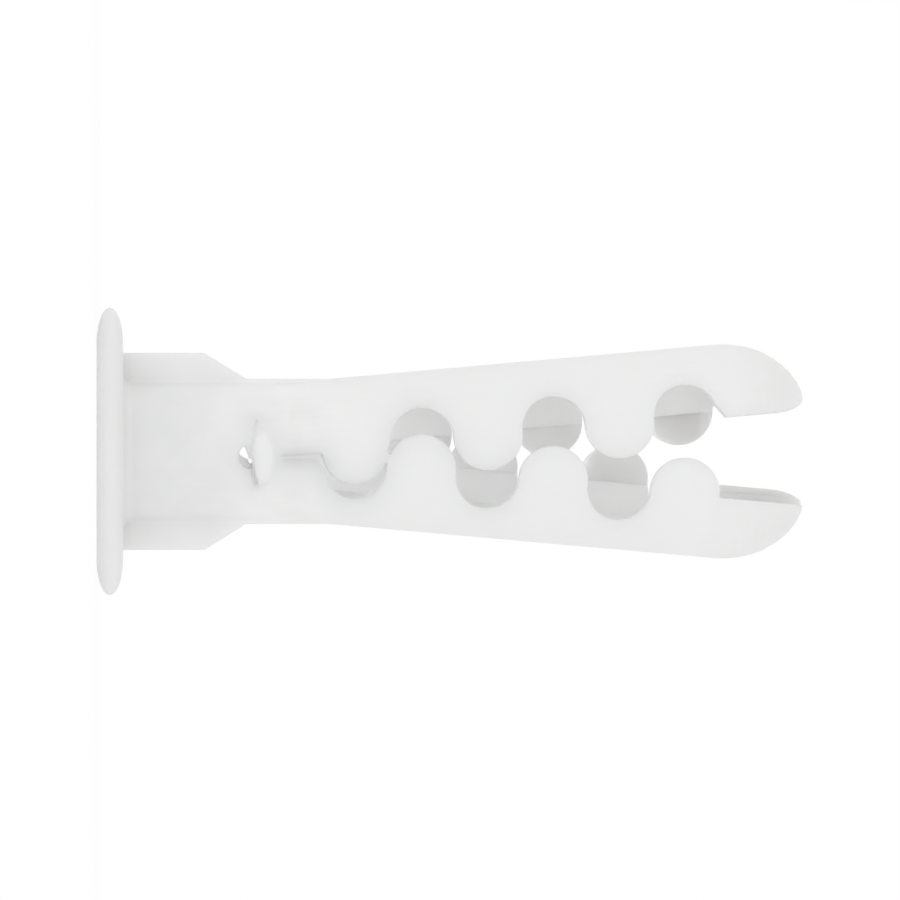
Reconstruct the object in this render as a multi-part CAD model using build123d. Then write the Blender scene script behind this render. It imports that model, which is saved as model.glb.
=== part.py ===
from build123d import *
import os
from math import cos, radians, sin, sqrt, tan

# A flanged wall plug with two toothed jaws, moulded as one piece of milky plastic.
#
# The plug stands on its flange, with the outer face at z = 0 and the jaws up along +Z.
# The screw enters from below, along the axis. One jaw leans towards -X and the other
# towards +X. The near side is -Y. A half turn about Z brings the plug onto itself, so
# everything on the near side is made once and turned to give the far side.

# Flange, in millimetres as is every length here
flange_diameter = 12.2
flange_thickness = 1.12
rim_reach = 1.5
foot_chamfer = 0.35

# Sleeve between the flange and the jaws, with the screw hole through it
body_diameter = 5.78
bore_diameter = 4.0
bore_depth = 5.6
bore_chamfer = 0.3
throat_height = 7.5
hinge_height = 8.2

# Fins that stop the sleeve from turning in the wall, and the low rib that runs on above them
fin_span = 8.3
fin_width = 0.8
fin_top = 4.57
rib_span = 6.1
rib_start = 6.35

# Small window above each side of the sleeve, which lets the jaws fold outwards
window_height = 6.54
window_offset = 0.24
window_radius = 0.565
lip_radius = 3.8
lip_gap = 0.16
lip_half_angle = 20.0
lip_height = 6.52
lip_offset = 0.07
lip_start = 1.2
pad_length = 1.15
pad_width = 2.3
pad_rise = 0.3
pad_depth = 0.6

# Jaws: sizes along a jaw are measured from the hinge, in a jaw's own closed place
splay_angle = 5.1
jaw_length = 21.963
nose_length = 3.65
tip_round_length = 1.4
tip_round_width = 0.6
channel_diameter = 2.9
tip_channel_diameter = 1.0
channel_taper_length = 4.4

# Toothed slit between the jaws, and the straight edges beyond it along the nose
slit_offset = 0.24
slit_clearance = 0.08
slit_start = 7.8
slit_relief_width = 0.3
slit_relief_drop = 0.24
tooth_offset = 0.16
tooth_pitch = 2.795
first_tooth = 2.745
first_tooth_trim = 0.12
tooth_swell = 0.05
tooth_setback = 0.11
tooth_flank = 0.04
tooth_land_step = 0.15
tooth_land_line = 0.1
lip_edge_offset = 0.275
lip_edge_clearance = 0.12
lead_length = 0.365
lead_drop = 0.4

# Values that follow from the sizes above
body_radius = body_diameter / 2
jaw_root = first_tooth - tooth_pitch / 2
nose_start = jaw_length - nose_length
tooth_count = int((nose_start - jaw_root) / tooth_pitch)
splay = radians(splay_angle)
mitre = tan(splay / 2)
reach = body_diameter


def half_turn(shape):
    """The same shape on the other side of the axis."""
    return Rot(0, 0, 180) * shape


def both_sides(shape):
    """The shape on the near side and its twin on the far side."""
    return shape + half_turn(shape)


def flange_and_sleeve():
    """Thin disc with a softly rounded rim, and the plain sleeve that grows out of it."""
    rim_radius = flange_diameter / 2
    mid = flange_thickness / 2
    flat_radius = rim_radius - rim_reach
    foot_radius = body_radius + foot_chamfer
    foot_top = flange_thickness + foot_chamfer
    sleeve_top = hinge_height + body_radius
    with BuildPart() as turned:
        with BuildSketch(Plane.XZ):
            with BuildLine():
                Line((0, 0), (flat_radius, 0))
                EllipticalCenterArc((flat_radius, mid), rim_reach, mid, -90, arc_size=180)
                Line((flat_radius, flange_thickness), (foot_radius, flange_thickness))
                Line((foot_radius, flange_thickness), (body_radius, foot_top))
                Line((body_radius, foot_top), (body_radius, sleeve_top))
                Polyline((body_radius, sleeve_top), (0, sleeve_top), (0, 0))
            make_face()
        revolve(axis=Axis.Z)
    return (turned.part - screw_hole()) & both_sides(sleeve_limit())


def sleeve_limit():
    """The near half of the space that the sleeve may fill.

    Its top slopes down both ways from the hinge, at half the splay, so that each jaw meets
    it in a mitre. The narrow notch is where the slit between the jaws begins.
    """
    left = slit_offset - slit_clearance / 2
    right = slit_offset + slit_clearance / 2
    wide = flange_diameter
    with BuildPart() as limit:
        with BuildSketch(Plane.XZ):
            Polygon(
                (-wide, -wide),
                (wide, -wide),
                (wide, hinge_height - wide * mitre),
                (right, hinge_height - right * mitre),
                (right, slit_start),
                (left, slit_start),
                (left, hinge_height + left * mitre),
                (-wide, hinge_height - wide * mitre),
                align=None,
            )
        extrude(amount=wide)
    return limit.part


def fins_and_ribs():
    """Two flat fins that slope down to low ribs, which fade out where the jaws lean past them."""
    fin_reach = fin_span / 2
    rib_reach = rib_span / 2
    wall_middle = (body_radius + bore_diameter / 2) / 2
    edge_radius = sqrt(body_radius**2 - (fin_width / 2) ** 2)
    swallowed = hinge_height + (rib_reach * cos(splay) - edge_radius) / sin(splay)
    rib_end = swallowed + rib_reach - body_radius
    with BuildPart() as fin:
        with BuildSketch(Plane.XZ):
            Polygon(
                (wall_middle, flange_thickness / 2),
                (fin_reach, flange_thickness / 2),
                (fin_reach, fin_top),
                (rib_reach, rib_start),
                (rib_reach, rib_end),
                (wall_middle, rib_end),
                align=None,
            )
        extrude(amount=fin_width / 2, both=True)
    return both_sides(fin.part)


def toothed_edge(side):
    """The near edge of a jaw, from the hinge to where its plain lip begins.

    The side is -1 for the jaw at -X and +1 for the jaw at +X. Teeth and gullets are half
    rounds in turn, the teeth a little wider. The first round points towards +X and keeps to
    the slit's own line, a little further out than the rest. There the tooth is trimmed and
    the corner beside the gullet is cut back, so that the two jaws stay clear of each other.
    Where a gullet comes last it stops short of its full half round, and a slant leads out.
    """
    base = slit_offset + side * slit_clearance / 2
    relief = (slit_relief_width, slit_relief_drop) if side > 0 else (0, 0)
    for tooth in range(tooth_count):
        way = 1 if tooth % 2 == 0 else -1
        radius = tooth_pitch / 2 - side * way * tooth_swell
        middle = hinge_height + first_tooth + tooth * tooth_pitch
        line = slit_offset if tooth == 0 else tooth_offset
        if tooth == 0 and side < 0:
            radius -= first_tooth_trim / 2
            middle -= first_tooth_trim / 2
            line += first_tooth_trim / 2
        high = middle + radius
        level = line + side * tooth_setback + way * tooth_flank
        if tooth == 0:
            level_gap = base + relief[0] - level
            begin = (base + relief[0], middle - sqrt(radius**2 - level_gap**2))
            Line((base, hinge_height + side * base * mitre), (base, begin[1] - relief[1]))
            if side > 0:
                Line((base, begin[1] - relief[1]), begin)
        else:
            begin = (level, middle - radius)
            Line(end, begin)
        end = (level, high)
        if tooth == tooth_count - 1 and way == side:
            end = (level + way * lead_drop, middle + sqrt(radius**2 - lead_drop**2))
            high += lead_length
        ThreePointArc(begin, (level + way * radius, middle), end)
    return end, high


def near_half(side):
    """The near half of a jaw as a block: its toothed edge, drawn through to the middle."""
    base = slit_offset + side * slit_clearance / 2
    lip = lip_edge_offset + side * lip_edge_clearance / 2
    tip = hinge_height + jaw_length
    round_start = tip - tip_round_length
    round_end = lip - tip_round_width
    with BuildPart() as half:
        with BuildSketch(Plane.XZ):
            with BuildLine():
                end, lip_begin = toothed_edge(side)
                if side < 0:
                    Polyline(end, (lip, lip_begin), (lip, round_start))
                    EllipticalCenterArc(
                        (round_end, round_start),
                        tip_round_length,
                        tip_round_width,
                        0,
                        arc_size=-90,
                        rotation=90,
                    )
                    Line((round_end, tip), (side * reach, tip))
                else:
                    Polyline(end, (lip, lip_begin), (lip, tip), (side * reach, tip))
                Polyline(
                    (side * reach, tip),
                    (side * reach, hinge_height + reach * mitre),
                    (base, hinge_height + side * base * mitre),
                )
            make_face()
        extrude(amount=reach)
    return half.part


def jaw_envelope():
    """Both jaws closed on each other: a round bar with a bullet nose."""
    root = hinge_height - body_radius
    shoulder = hinge_height + nose_start
    tip = hinge_height + jaw_length
    with BuildPart() as bar:
        with BuildSketch(Plane.XZ):
            with BuildLine():
                Polyline((0, tip), (0, root), (body_radius, root), (body_radius, shoulder))
                EllipticalCenterArc(
                    (0, shoulder), nose_length, body_radius, 0, arc_size=-90, rotation=90
                )
            make_face()
        revolve(axis=Axis.Z)
    return bar.part


def screw_channel():
    """The round channel along the closed jaws, which closes in towards the tip."""
    radius = channel_diameter / 2
    tip_radius = tip_channel_diameter / 2
    root = hinge_height - body_radius
    tip = hinge_height + jaw_length
    taper = tip - channel_taper_length
    with BuildPart() as channel:
        with BuildSketch(Plane.XZ):
            Polygon(
                (0, root),
                (radius, root),
                (radius, taper),
                (tip_radius, tip),
                (0, tip),
                align=None,
            )
        revolve(axis=Axis.Z)
    return channel.part


def tooth_lands():
    """The space between the flat inner faces of the teeth, a step wider than the channel."""
    width = channel_diameter / 2 + tooth_land_step
    tip_width = tip_channel_diameter / 2 + tooth_land_step
    root = hinge_height + jaw_root
    tip = hinge_height + jaw_length
    taper = tip - channel_taper_length
    with BuildPart() as lands:
        with BuildSketch(Plane.YZ.offset(-tooth_land_line)):
            Polygon(
                (-width, root),
                (width, root),
                (width, taper),
                (tip_width, tip),
                (-tip_width, tip),
                (-width, taper),
                align=None,
            )
        extrude(amount=reach)
    return lands.part


def jaw():
    """The jaw at -X, cut to its teeth, hollowed and leaned out about the hinge."""
    halves = near_half(-1) + half_turn(near_half(1))
    closed = jaw_envelope() & halves
    hollowed = closed - screw_channel() - tooth_lands()
    hinge = Axis((0, 0, hinge_height), (0, 1, 0))
    return hollowed.rotate(hinge, -splay_angle)


def screw_hole():
    """Plain hole for the screw, chamfered at the flange and tapered down to the channel."""
    radius = bore_diameter / 2
    throat = channel_diameter / 2
    above = hinge_height + body_radius
    with BuildPart() as hole:
        with BuildSketch(Plane.XZ):
            Polygon(
                (0, 0),
                (radius + bore_chamfer, 0),
                (radius, bore_chamfer),
                (radius, bore_depth),
                (throat, throat_height),
                (throat, above),
                (0, above),
                align=None,
            )
        revolve(axis=Axis.Z)
    return hole.part


def window():
    """The round hole through the near wall of the sleeve."""
    hole = Cylinder(window_radius, reach, align=(Align.CENTER, Align.CENTER, Align.MIN))
    return Pos(window_offset, 0, window_height) * Rot(90, 0, 0) * hole


def lip_centre():
    """The middle of the arc along which the pad's edge and the gap below it are drawn."""
    return Pos(lip_offset, 0, lip_height + lip_radius) * Rot(90, 0, 0)


def pad():
    """Raised pad above the window, with its lower edge on an arc."""
    ball = Sphere(1)
    swelling = scale(ball, by=(pad_width / 2, pad_depth, pad_length / 2))
    middle = lip_height + pad_length / 2 - lip_gap
    placed = Pos(window_offset, pad_depth - body_radius - pad_rise, middle) * swelling
    edge = Cylinder(lip_radius, reach, align=(Align.CENTER, Align.CENTER, Align.MIN))
    return placed & (lip_centre() * edge)


def lip():
    """The thin curved gap that parts the pad from the sleeve below it."""
    with BuildPart() as gap:
        with BuildSketch(Plane.XY.offset(lip_start)):
            with BuildLine():
                CenterArc((0, 0), lip_radius, -90 - lip_half_angle, 2 * lip_half_angle)
                offset(amount=lip_gap / 2)
            make_face()
        extrude(amount=reach)
    return lip_centre() * gap.part


def plug():
    """The whole moulding as one solid."""
    body = flange_and_sleeve() + both_sides(jaw()) + fins_and_ribs()
    body = body - both_sides(window()) + both_sides(pad())
    return body - both_sides(lip())


os.makedirs("parts", exist_ok=True)
export_step(plug().solid(), "parts/plug_body.step")
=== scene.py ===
from math import cos, pi, radians, sin, sqrt, tan

import bmesh
import bpy
import numpy as np
from mathutils import Matrix, Vector


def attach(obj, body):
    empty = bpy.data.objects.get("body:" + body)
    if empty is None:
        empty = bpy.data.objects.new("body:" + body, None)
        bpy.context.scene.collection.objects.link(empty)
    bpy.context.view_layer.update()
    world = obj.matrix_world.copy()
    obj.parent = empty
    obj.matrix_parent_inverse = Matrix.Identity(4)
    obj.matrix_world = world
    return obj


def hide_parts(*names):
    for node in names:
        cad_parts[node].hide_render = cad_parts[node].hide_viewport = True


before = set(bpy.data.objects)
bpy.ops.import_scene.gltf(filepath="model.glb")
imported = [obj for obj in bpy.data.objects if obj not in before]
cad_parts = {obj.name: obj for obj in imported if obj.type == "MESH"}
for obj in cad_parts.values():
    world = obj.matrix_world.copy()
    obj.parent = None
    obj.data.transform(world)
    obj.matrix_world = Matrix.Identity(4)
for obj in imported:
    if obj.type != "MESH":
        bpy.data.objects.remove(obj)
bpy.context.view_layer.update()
MM = 0.001

# The camera stands far off, level with the flange. It is rolled a quarter turn, so that the
# plug lies across the picture with its flange on the left.
camera_distance = 380 * MM
camera_height = 0.2 * MM
aim_height = 15 * MM
aim_aside = -0.06 * MM
picture_width = 38.23 * MM
sensor_width = 36
nearest_seen = 10 * MM

camera_data = bpy.data.cameras.new("camera")
camera = bpy.data.objects.new("camera", camera_data)
bpy.context.scene.collection.objects.link(camera)
bpy.context.scene.camera = camera
stand = Vector((aim_aside, -camera_distance, camera_height))
aim = Vector((aim_aside, 0, aim_height))
ahead = (aim - stand).normalized()
across = (Vector((0, 0, 1)) - ahead * ahead.z).normalized()
turned = Matrix((across, -ahead.cross(across), -ahead)).transposed()
camera.matrix_world = Matrix.Translation(stand) @ turned.to_4x4()
camera_data.sensor_width = sensor_width
camera_data.lens = sensor_width * (aim - stand).length / picture_width
camera_data.clip_start = nearest_seen


# Plain white room: an even sky, a pale floor that keeps the plug's shadow, and one large
# soft lamp. Straight views of the sky and the floor come out white. Two narrow lamps in the
# screw hole stand for the light that comes in through the flange of a plug lying down.
class Wire:
    """A socket in a node tree. Sums and products of wires add their own Math nodes."""

    def __init__(self, tree, socket=None):
        self.tree = tree
        self.socket = socket

    def node(self, kind, settings=None, sockets=None, output=0):
        """A new node: its settings first, then each of its sockets to a value or a wire."""
        new = self.tree.nodes.new(kind)
        for name, value in (settings or {}).items():
            if name == "stops":
                self.set_stops(new.color_ramp, value)
            else:
                setattr(new, name, value)
        for name, value in (sockets or {}).items():
            if isinstance(value, Wire):
                self.tree.links.new(value.socket, new.inputs[name])
            else:
                new.inputs[name].default_value = value
        return Wire(self.tree, new.outputs[output] if new.outputs else None)

    def set_stops(self, ramp, stops):
        """Colour stops, each a place from 0 to 1 and a colour."""
        while len(ramp.elements) < len(stops):
            ramp.elements.new(1.0)
        for element, (place, colour) in zip(ramp.elements, stops):
            element.position = place
            element.color = (*colour, 1.0)

    def math(self, operation, *values):
        """A Math node on numbers or wires."""
        return self.node("ShaderNodeMath", {"operation": operation}, dict(enumerate(values)))

    def __add__(self, other):
        return self.math("ADD", self, other)

    __radd__ = __add__

    def __sub__(self, other):
        return self.math("SUBTRACT", self, other)

    def __rsub__(self, other):
        return self.math("SUBTRACT", other, self)

    def __mul__(self, other):
        return self.math("MULTIPLY", self, other)

    __rmul__ = __mul__

    def __truediv__(self, other):
        return self.math("DIVIDE", self, other)


sky_colour = (1, 1, 1, 1)
sky_strength = 0.855
seen_white = 1.0

world = bpy.data.worlds.new("white_room")
bpy.context.scene.world = world
world.use_nodes = True
world.node_tree.nodes.clear()
sky = Wire(world.node_tree)
seen = sky.node("ShaderNodeLightPath", output="Is Camera Ray")
strength = sky_strength + (seen_white - sky_strength) * seen
light = sky.node("ShaderNodeBackground", None, {"Color": sky_colour, "Strength": strength})
sky.node("ShaderNodeOutputWorld", None, {"Surface": light})

# The floor throws no light back at the plug.
floor_half_width = 1.5
floor_colour = (0.8, 0.8, 0.8, 1.0)
floor_glow = 0.3

floor_mesh = bpy.data.meshes.new("floor")
plane = bmesh.new()
bmesh.ops.create_grid(plane, x_segments=1, y_segments=1, size=floor_half_width)
plane.to_mesh(floor_mesh)
plane.free()
floor = bpy.data.objects.new("floor", floor_mesh)
bpy.context.scene.collection.objects.link(floor)
floor.visible_diffuse = False

floor_material = bpy.data.materials.new("pale_floor")
floor_material.use_nodes = True
floor_material.node_tree.nodes.clear()
pale = Wire(floor_material.node_tree)
camera_ray = pale.node("ShaderNodeLightPath", output="Is Camera Ray")
matt = pale.node("ShaderNodeBsdfDiffuse", None, {"Color": floor_colour})
glow = pale.node("ShaderNodeEmission", None, {"Strength": floor_glow * camera_ray})
lit = pale.node("ShaderNodeAddShader", None, {0: matt, 1: glow})
pale.node("ShaderNodeOutputMaterial", None, {"Surface": lit})
floor_mesh.materials.append(floor_material)

# Each lamp in the screw hole shines up the plug in a cone of so many degrees. Neither is
# seen, directly or in a reflection.
front_lamp_place = (-200, -400, 120)
front_lamp_width = 300
front_lamp_power = 0.05
bore_lamp_place = (0, 0, 0.5)
bore_lamp_radius = 0.5
bore_lamp_blend = 0.7
bore_lamps = (("bore_beam", 26, 0.008), ("bore_glow", 44, 0.0015))


def new_lamp(name, kind, power, place):
    """A lamp at a place in millimetres."""
    lamp = bpy.data.objects.new(name, bpy.data.lights.new(name, kind))
    bpy.context.scene.collection.objects.link(lamp)
    lamp.data.energy = power
    lamp.location = Vector(place) * MM
    return lamp


front_lamp = new_lamp("front_lamp", "AREA", front_lamp_power, front_lamp_place)
front_lamp.data.size = front_lamp_width * MM
front_lamp.rotation_euler = (aim - front_lamp.location).to_track_quat("-Z", "Y").to_euler()
for name, cone, power in bore_lamps:
    bore_lamp = new_lamp(name, "SPOT", power, bore_lamp_place)
    bore_lamp.data.spot_size = radians(cone)
    bore_lamp.data.spot_blend = bore_lamp_blend
    bore_lamp.data.shadow_soft_size = bore_lamp_radius * MM
    bore_lamp.rotation_euler = (pi, 0, 0)
    bore_lamp.visible_camera = False
    bore_lamp.visible_glossy = False

# The plug: one injection moulding of milky polypropylene, with every edge a little rounded
# by the mould. Its form is that of the frame's solid, worked on in millimetres: the webs are
# added, the mesh is made anew and eased, and the mould's parting line is raised on it.
weld = 0.002

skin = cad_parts["plug_body"].data.copy()
skin.transform(Matrix.Scale(1 / MM, 4))
skin.materials.clear()
welded = bmesh.new()
welded.from_mesh(skin)
bmesh.ops.remove_doubles(welded, verts=welded.verts, dist=weld)
welded.to_mesh(skin)
welded.free()
moulding = bpy.data.objects.new("plug_moulding", skin)
bpy.context.scene.collection.objects.link(moulding)

# The arched gap beside each window is closed by webs: nearly to the skin on one side of the
# window, where a flap reaches over the near window, and deeper down on the other side. The
# gap's ends and edges are in degrees from the foot of its arc.
body_radius = 2.89
gap_centre = (0.07, 10.32)
gap_inside = 3.7
gap_outside = 3.92
gap_end = 21
window_edge = 9
arc_steps = 12
flap_leaves = -6.4
flap_returns = 3.8
flap_foot = (-0.36, 6.2)
flap_tip = (0.323, 6.43)
closed_recess = 0.07
closed_bottom = 2.25
groove_recess = 0.28
groove_bottom = 1.9


def arc(radius, first, last):
    """Points across and up on an arc of the gap, from one angle to another."""
    middle_across, middle_up = gap_centre
    points = []
    for step in range(arc_steps + 1):
        turn = radians(first + (last - first) * step / arc_steps)
        points.append((middle_across + radius * sin(turn), middle_up - radius * cos(turn)))
    return points


def gap_web(outline, recess, bottom, side):
    """A web that closes a part of the arched gap, with its top so far under the skin."""
    web = bmesh.new()
    tops = []
    feet = []
    for x, z in outline:
        skin_depth = sqrt(body_radius**2 - x * x)
        tops.append(web.verts.new((side * x, side * (recess - skin_depth), z)))
    for x, z in outline:
        feet.append(web.verts.new((side * x, -side * bottom, z)))
    web.faces.new(tops)
    web.faces.new(feet)
    for corner in range(len(outline)):
        before = corner - 1
        web.faces.new((tops[before], tops[corner], feet[corner], feet[before]))
    bmesh.ops.triangulate(web, faces=web.faces)
    web.from_mesh(skin)
    web.to_mesh(skin)
    web.free()


flap_side = arc(gap_outside, -gap_end, flap_leaves) + [flap_foot, flap_tip]
flap = flap_side + arc(gap_inside, flap_returns, -gap_end)
plain = arc(gap_outside, -gap_end, -window_edge) + arc(gap_inside, -window_edge, -gap_end)
groove = arc(gap_outside, window_edge, gap_end) + arc(gap_inside, gap_end, window_edge)
gap_web(flap, closed_recess, closed_bottom, 1)
gap_web(plain, closed_recess, closed_bottom, -1)
for side in (1, -1):
    gap_web(groove, groove_recess, groove_bottom, side)

# The foot of the slit between the jaws is opened to nearly three voxels, or the remesh
# would close it.
slit_line = 0.24
slit_reach = 0.06
slit_half_width = 0.07
slit_low = 7.7
slit_high = 9.0


def vertex_places(mesh):
    """The places of a mesh's vertices, one row each."""
    places = np.empty(len(mesh.vertices) * 3, dtype=np.float32)
    mesh.vertices.foreach_get("co", places)
    return places.reshape(-1, 3)


places = vertex_places(skin)
near_or_far = np.where(places[:, 1] < 0, 1.0, -1.0)
from_slit = places[:, 0] * near_or_far - slit_line
beside_slit = (
    (np.abs(from_slit) < slit_reach)
    & (places[:, 2] > slit_low)
    & (places[:, 2] < slit_high)
)
opened = slit_line + np.sign(from_slit) * slit_half_width
places[beside_slit, 0] = (opened * near_or_far)[beside_slit]
skin.vertices.foreach_set("co", places.ravel())

# The remesh joins the webs to the plug, and the smoothing eases its edges.
voxel = 0.05
easing = 0.5
easing_passes = 4


def apply_modifiers(piece):
    """Puts the result of a piece's modifiers into its mesh."""
    bpy.context.view_layer.update()
    finished = piece.evaluated_get(bpy.context.evaluated_depsgraph_get())
    made = bpy.data.meshes.new_from_object(finished)
    piece.modifiers.clear()
    old = piece.data
    piece.data = made
    bpy.data.meshes.remove(old)


remesh = moulding.modifiers.new("fine_mesh", "REMESH")
remesh.mode = "VOXEL"
remesh.voxel_size = voxel
remesh.use_smooth_shade = True
ease = moulding.modifiers.new("eased_edges", "SMOOTH")
ease.factor = easing
ease.iterations = easing_passes
apply_modifiers(moulding)

# The parting line stands a little proud of the fins and of the backs of the jaws.
hinge_height = 8.2
lean = tan(radians(5.1))
jaw_back = 2.3
flange_top = 1.12
parting_half_width = 0.08
parting_height = 0.04
kept_share = 0.155

places = vertex_places(moulding.data)
outward = np.abs(places[:, 0]) - lean * np.maximum(places[:, 2] - hinge_height, 0)
on_back = (outward > jaw_back) & (places[:, 2] > flange_top + parting_half_width)
ridge = np.clip(1 - np.abs(places[:, 1]) / parting_half_width, 0, 1) * on_back
places[:, 0] += np.sign(places[:, 0]) * ridge * parting_height
moulding.data.vertices.foreach_set("co", places.ravel())

thin = moulding.modifiers.new("fewer_faces", "DECIMATE")
thin.ratio = kept_share
apply_modifiers(moulding)
moulding.data.name = "plug_moulding"
moulding.data.transform(Matrix.Scale(MM, 4))

# Its plastic is a see-through white that light soaks into. Painted shade makes the flange,
# the sleeve and the nose a little greyer than the jaws, and the flat inner faces of the teeth
# greyer again; these are also smoother. The melt's flow leaves faint clouds. The skin has a
# fine satin grain.
plastic = bpy.data.materials.new("milky_polypropylene")
plastic.use_nodes = True
plastic.node_tree.nodes.clear()
milk = Wire(plastic.node_tree)


def axes(vector):
    """The three parts of a vector."""
    parts = {"Vector": vector}
    return [milk.node("ShaderNodeSeparateXYZ", None, parts, output=axis) for axis in range(3)]


def rise(value, low, high):
    """A mask that goes smoothly from 0 at the low value to 1 at the high value."""
    return milk.node(
        "ShaderNodeMapRange",
        {"interpolation_type": "SMOOTHSTEP"},
        {"Value": value, "From Min": low, "From Max": high},
    )


own_place = milk.node("ShaderNodeTexCoord", output="Object")
spot = milk.node("ShaderNodeVectorMath", {"operation": "SCALE"}, {0: own_place, "Scale": 1 / MM})
aside, near, height = axes(spot)
depth = milk.math("ABSOLUTE", near)
turned_aside, turned_near, _ = axes(milk.node("ShaderNodeTexCoord", output="Normal"))

# Painted shade and a painted highlight, where the plug is made greyer or paler. Each pair is
# where
# a mask begins and ends: heights up the plug in millimetres, distances from its middle or, for
# what faces inward, a share of that direction.
facing_middle = (0.15, 0.7)
facing_other_jaw = (0.15, 0.6)
jaw_foot = (8.0, 8.8)
# Painted shade on the flat inner faces of the teeth, growing towards the tips.
land_painted_shade = 0.26
land_painted_shade_more = 0.13
land_edge = (1.48, 1.53)
land_darkens = (12.0, 24.0)
# Painted shade inside the nose.
nose_painted_shade = 0.28
nose_foot = (24.6, 26.8)
# Painted shade on the inner faces by the hinge, in the throat.
throat_painted_shade = 0.2
throat_foot = (7.2, 7.6)
throat_top = (9.3, 9.9)
# Painted shade on the fins.
fin_painted_shade = 0.06
fin_side = (2.95, 3.15)
fin_foot = (1.15, 1.4)
fin_top = (6.1, 6.4)
# A painted highlight on the pad beside each window.
pad_painted_highlight = 0.2
pad_front = (2.86, 3.05)
pad_foot = (6.2, 6.4)
pad_top = (8.0, 8.3)

inward = rise(-1.0 * turned_near * milk.math("SIGN", near), *facing_middle)
inner = inward * rise(height, *jaw_foot)
turned_in = rise(-1.0 * turned_aside * milk.math("SIGN", aside), *facing_other_jaw)
# Painted shade on the flat inner faces of the teeth.
land_shade = rise(depth, *land_edge) * (land_painted_shade + land_painted_shade_more * rise(height, *land_darkens))
# Painted shade on the inner faces of the nose.
nose_shade = nose_painted_shade * rise(height, *nose_foot) * milk.math("MAXIMUM", inward, turned_in)
# Painted shade on the inner faces of the throat.
throat_shade = throat_painted_shade * inward * rise(height, *throat_foot) * (1 - rise(height, *throat_top))
# The deepest of the painted shades on the inner faces, the nose and the throat counts.
inner_painted_shade = milk.math("MAXIMUM", milk.math("MAXIMUM", inner * land_shade, nose_shade), throat_shade)
# Painted shade on the fins, between the flange and the hinge.
fin_shade = fin_painted_shade * rise(milk.math("ABSOLUTE", aside), *fin_side)
fin_shade = fin_shade * rise(height, *fin_foot) * (1 - rise(height, *fin_top))
# A painted highlight on the pad beside each window.
pad_highlight = pad_painted_highlight * rise(depth, *pad_front)
pad_highlight = pad_highlight * rise(height, *pad_foot) * (1 - rise(height, *pad_top))

# Painted shade along the plug, by height in millimetres. The flow's clouds shift and vary it.
milky_dark = (0.55, 0.55, 0.55)
milky_pale = (1.0, 1.0, 1.0)
plug_length = 30.0
shade_painted_by_height = (
    (0, 0.55),
    (1.05, 0.55),
    (1.5, 0.71),
    (3.9, 0.78),
    (6, 0.78),
    (7.2, 0.75),
    (8.7, 0.77),
    (12, 0.96),
    (23.4, 0.95),
    (27, 0.76),
    (30, 0.62),
)
soft_detail = 2.0
flow_fineness = 0.35
flow_drift = 3.0
drift_grows = (1.5, 5.0)
flow_paleness = 0.12
flow_paleness_more = 0.23
flow_grows = (1.2, 4.0)


def clouds(fineness, detail):
    """Noise from 0 to 1 over the piece, with about this many cells to a millimetre."""
    return milk.node(
        "ShaderNodeTexNoise",
        None,
        {"Vector": spot, "Scale": fineness, "Detail": detail},
    )


flow = clouds(flow_fineness, soft_detail) - 0.5
drift = height + flow_drift * flow * rise(height, *drift_grows)
stops = [(up / plug_length, (tone, tone, tone)) for up, tone in shade_painted_by_height]
# The ramp paints the shade along the plug, shifted by the flow's clouds.
painted_shade_ramp = milk.node("ShaderNodeValToRGB", {"stops": stops}, {"Fac": drift / plug_length})
tone_with_painted_light = milk.node("ShaderNodeSeparateColor", None, {"Color": painted_shade_ramp})
tone_with_painted_light = tone_with_painted_light + (flow_paleness + flow_paleness_more * rise(height, *flow_grows)) * flow
# The pad's painted highlight is added, and the painted shade of the fins, the inner faces, the
# nose and the throat taken off.
tone_with_painted_light = tone_with_painted_light + pad_highlight - fin_shade - inner_painted_shade
tints = [(0.0, milky_dark), (1.0, milky_pale)]
tint = milk.node("ShaderNodeValToRGB", {"stops": tints}, {"Fac": tone_with_painted_light})

# Satin skin with a fine grain, smoother on the inner faces. Depths are in millimetres.
satin = 0.42
satin_change = 0.08
satin_fineness = 1.2
inner_satin = 0.3
grain_strength = 0.12
grain_depth = 0.01
grain_fineness = 7.0
grain_detail = 3.0
plastic_ior = 1.49
soaking_depth = 1.5
soaking_colours = (1.0, 0.97, 0.93)

bumps = {
    "Strength": grain_strength,
    "Distance": grain_depth * MM,
    "Height": clouds(grain_fineness, grain_detail),
}
grain = milk.node("ShaderNodeBump", None, bumps)
roughness = satin + satin_change * (clouds(satin_fineness, soft_detail) - 0.5)
roughness = roughness - (satin - inner_satin) * inner
surface = milk.node(
    "ShaderNodeBsdfPrincipled",
    None,
    {
        "Base Color": tint,
        "Roughness": roughness,
        "IOR": plastic_ior,
        "Subsurface Weight": 1.0,
        "Subsurface Radius": soaking_colours,
        "Subsurface Scale": soaking_depth * MM,
        "Normal": grain,
    },
)
milk.node("ShaderNodeOutputMaterial", None, {"Surface": surface})
moulding.data.materials.append(plastic)

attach(moulding, "root")
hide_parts("plug_body")

# Closing: plain view colours.
bpy.context.scene.view_settings.view_transform = "Standard"
